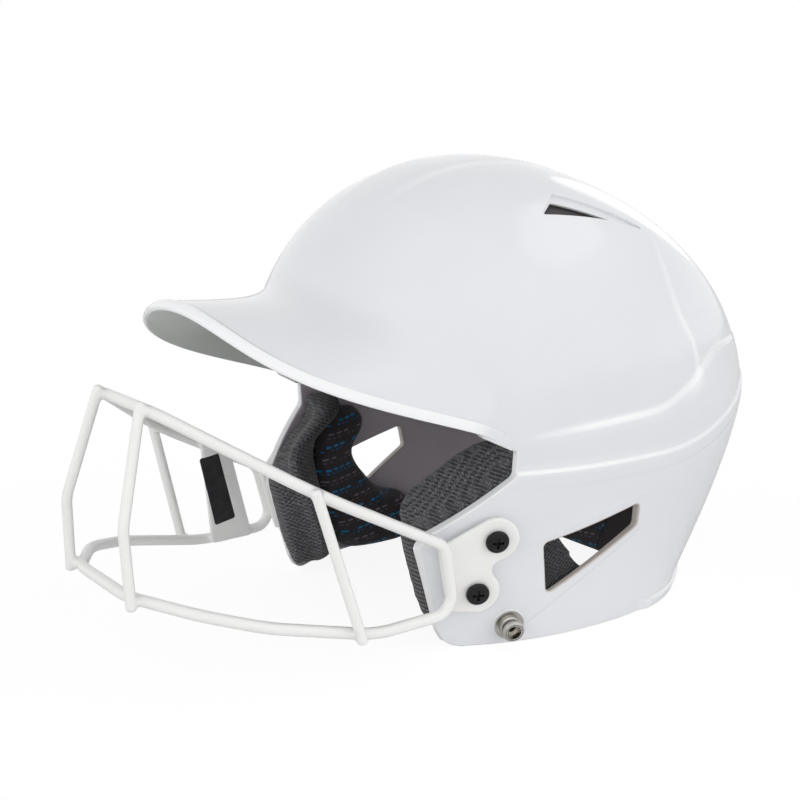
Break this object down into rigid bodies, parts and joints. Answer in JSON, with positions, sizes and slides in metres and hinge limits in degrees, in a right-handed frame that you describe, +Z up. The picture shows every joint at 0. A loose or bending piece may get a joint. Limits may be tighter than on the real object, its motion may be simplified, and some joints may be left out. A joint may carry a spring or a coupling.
{
  "type": "softball batting helmet with face guard",
  "caption": "Hard-shell softball batting helmet with a bill, padded ear flaps and a screwed-on wire face guard.",
  "frame": {"origin": "middle of the head opening at the level of the ear flaps' lower edges", "axes": "+X to the wearer's left, -Y to the front (the bill and the face guard), +Z up towards the crown"},
  "size_m": [0.212, 0.3686, 0.2242],
  "materials": {
    "shell_plastic": "glossy white moulded plastic",
    "guard_coating": "thick glossy white coating on steel wire and plate",
    "screw_black": "black, glossy",
    "nut_steel": "zinc plated",
    "stud_steel": "turned stainless steel",
    "jaw_foam": "charcoal knit over foam",
    "liner_fabric": "black printed fabric over foam"
  },
  "bodies": {
    "helmet": {"shell": "shell_plastic", "guard_hoop": "guard_coating", "guard_upright_center_left": "guard_coating", "guard_upright_center_right": "guard_coating", "guard_upright_side_left": "guard_coating", "guard_upright_side_right": "guard_coating", "guard_plate_left": "guard_coating", "guard_plate_right": "guard_coating", "guard_label_plate": "guard_coating", "guard_nuts_left": "nut_steel", "guard_nuts_right": "nut_steel", "strap_stud_left": "stud_steel", "strap_stud_right": "stud_steel", "strap_stud_washer_left": "stud_steel", "strap_stud_washer_right": "stud_steel", "strap_stud_nut_left": "nut_steel", "strap_stud_nut_right": "nut_steel", "jaw_pad_left": "jaw_foam", "jaw_pad_right": "jaw_foam", "ear_pad_left": "liner_fabric", "ear_pad_right": "liner_fabric", "forehead_pad": "liner_fabric", "crown_pad": "liner_fabric", "rear_pad": "liner_fabric", "temple_pad_left": "liner_fabric", "temple_pad_right": "liner_fabric"},
    "guard_screw_upper_left": {"guard_screw_upper_left": "screw_black"},
    "guard_screw_lower_left": {"guard_screw_lower_left": "screw_black"},
    "guard_screw_upper_right": {"guard_screw_upper_right": "screw_black"},
    "guard_screw_lower_right": {"guard_screw_lower_right": "screw_black"}
  },
  "joints": [
    {"name": "guard_screw_upper_left_turn", "type": "hinge", "parent": "helmet", "child": "guard_screw_upper_left", "pos_m": [0.09133, -0.05129, 0.05687], "axis": [0.8967, -0.4086, -0.1704], "continuous": true},
    {"name": "guard_screw_lower_left_turn", "type": "hinge", "parent": "helmet", "child": "guard_screw_lower_left", "pos_m": [0.08404, -0.05654, 0.03109], "axis": [0.8967, -0.4086, -0.1704], "continuous": true},
    {"name": "guard_screw_upper_right_turn", "type": "hinge", "parent": "helmet", "child": "guard_screw_upper_right", "pos_m": [-0.09133, -0.05129, 0.05687], "axis": [-0.8967, -0.4086, -0.1704], "continuous": true},
    {"name": "guard_screw_lower_right_turn", "type": "hinge", "parent": "helmet", "child": "guard_screw_lower_right", "pos_m": [-0.08404, -0.05654, 0.03109], "axis": [-0.8967, -0.4086, -0.1704], "continuous": true}
  ]
}
